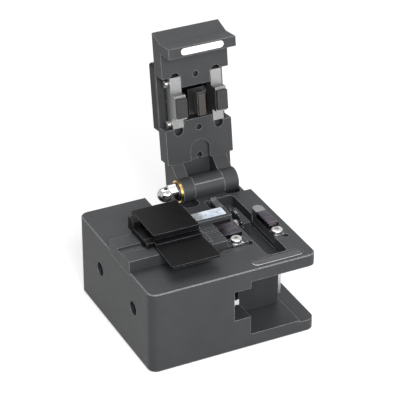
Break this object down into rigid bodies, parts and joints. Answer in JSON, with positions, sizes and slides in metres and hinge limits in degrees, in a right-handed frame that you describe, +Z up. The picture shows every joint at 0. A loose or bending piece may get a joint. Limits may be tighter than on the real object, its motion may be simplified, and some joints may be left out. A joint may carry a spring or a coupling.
{
  "type": "optical fibre cleaver",
  "caption": "Bench fibre cleaver: dark metal block with a blade slider in a side channel, a sliding fibre holder on a raised rail and a hinged clamp lid standing open.",
  "frame": {"origin": "middle of the base pad's underside, where the block stands on the bench", "axes": "+X to the right as seen from the front, +Y to the back where the lid's hinge is, +Z up"},
  "size_m": [0.072, 0.089, 0.1011],
  "materials": {
    "black_anodised": "matt black anodised, blasted",
    "holder_black": "satin black anodised",
    "slider_grey": "matt dark anodised",
    "ground_steel": "ground",
    "blasted_steel": "blasted, bright at the edges",
    "polished_steel": "polished",
    "bright_nut": "polished plate",
    "dark_steel": "blackened",
    "screw_steel": "turned",
    "dark_screw": "black oxide",
    "spring_wire": "drawn wire",
    "brass": "turned",
    "bronze": "sintered",
    "blade_carbide": "ground carbide",
    "magnet_plate": "nickel plated",
    "clamp_rubber": "matt",
    "anvil_rubber": "matt",
    "foot_rubber": "matt",
    "strip_metal": "dull rolled strip",
    "scale_white": "printed plate"
  },
  "bodies": {
    "base": {"body_frame": "black_anodised", "base_pad": "foot_rubber", "fibre_rail": "black_anodised", "rail_screws": "dark_screw", "scale_plate": "scale_white", "slot_strip": "strip_metal", "clamp_bar_left": "ground_steel", "clamp_bar_right": "strip_metal", "lower_pad_left": "polished_steel", "lower_pad_right": "polished_steel", "lower_clamp_screws": "screw_steel", "catch_plate": "blasted_steel", "hinge_bushes": "bronze", "guide_rail": "ground_steel", "guide_rail_screws": "dark_screw", "rear_bumper": "clamp_rubber", "slider_stop_pin": "ground_steel"},
    "lid": {"lid_frame": "black_anodised", "hinge_shaft": "screw_steel", "dome_nut": "bright_nut", "spring_washer": "dark_screw", "brass_washer": "brass", "lid_magnet_bar": "magnet_plate", "lid_rear_cover": "holder_black", "lid_cover_screws": "dark_screw", "clamp_spindles": "screw_steel", "anvil_guide": "dark_steel", "clamp_spring_left": "spring_wire", "clamp_spring_right": "spring_wire", "anvil_spring": "spring_wire"},
    "clamp_left": {"clamp_bracket_left": "blasted_steel", "clamp_rubber_left": "clamp_rubber"},
    "clamp_right": {"clamp_bracket_right": "blasted_steel", "clamp_rubber_right": "clamp_rubber"},
    "anvil": {"anvil_block": "bright_nut", "anvil_pad": "anvil_rubber"},
    "slider": {"slider_block": "slider_grey", "guide_carriage": "ground_steel", "carriage_screws": "dark_screw", "slider_side_plate": "ground_steel", "side_plate_screws": "screw_steel", "blade_screw": "screw_steel"},
    "blade": {"blade_wheel": "blade_carbide"},
    "holder": {"holder_base": "holder_black", "holder_magnets": "magnet_plate", "holder_hinge_pin": "screw_steel"},
    "cover": {"holder_cover": "holder_black", "holder_pad": "clamp_rubber"}
  },
  "joints": [
    {"name": "lid_hinge", "type": "hinge", "parent": "base", "child": "lid", "pos_m": [0.01975, 0.0287, 0.0385], "axis": [1, 0, 0], "range_deg": [0, 98]},
    {"name": "slider_travel", "type": "slide", "parent": "base", "child": "slider", "axis": [0, -1, 0], "range_m": [0, 0.022]},
    {"name": "blade_turn", "type": "hinge", "parent": "slider", "child": "blade", "pos_m": [0.01975, 0.005, 0.0309], "axis": [1, 0, 0], "continuous": true},
    {"name": "clamp_left_float", "type": "slide", "parent": "lid", "child": "clamp_left", "axis": [0, 0.9903, -0.1392], "range_m": [0, 0.0009], "stiffness_N_per_m": 300, "springref_m": -0.002, "deforming": ["clamp_spring_left"]},
    {"name": "clamp_right_float", "type": "slide", "parent": "lid", "child": "clamp_right", "axis": [0, 0.9903, -0.1392], "range_m": [0, 0.0009], "stiffness_N_per_m": 300, "springref_m": -0.002, "deforming": ["clamp_spring_right"]},
    {"name": "anvil_float", "type": "slide", "parent": "lid", "child": "anvil", "axis": [0, 0.9903, -0.1392], "range_m": [0, 0.0012], "stiffness_N_per_m": 300, "springref_m": -0.002, "deforming": ["anvil_spring"]},
    {"name": "holder_slide", "type": "slide", "parent": "base", "child": "holder", "axis": [1, 0, 0], "range_m": [-0.01, 0.0022]},
    {"name": "holder_cover_flip", "type": "hinge", "parent": "holder", "child": "cover", "pos_m": [-0.0129, 0.0102, 0.04225], "axis": [-1, 0, 0], "range_deg": [0, 105]}
  ]
}
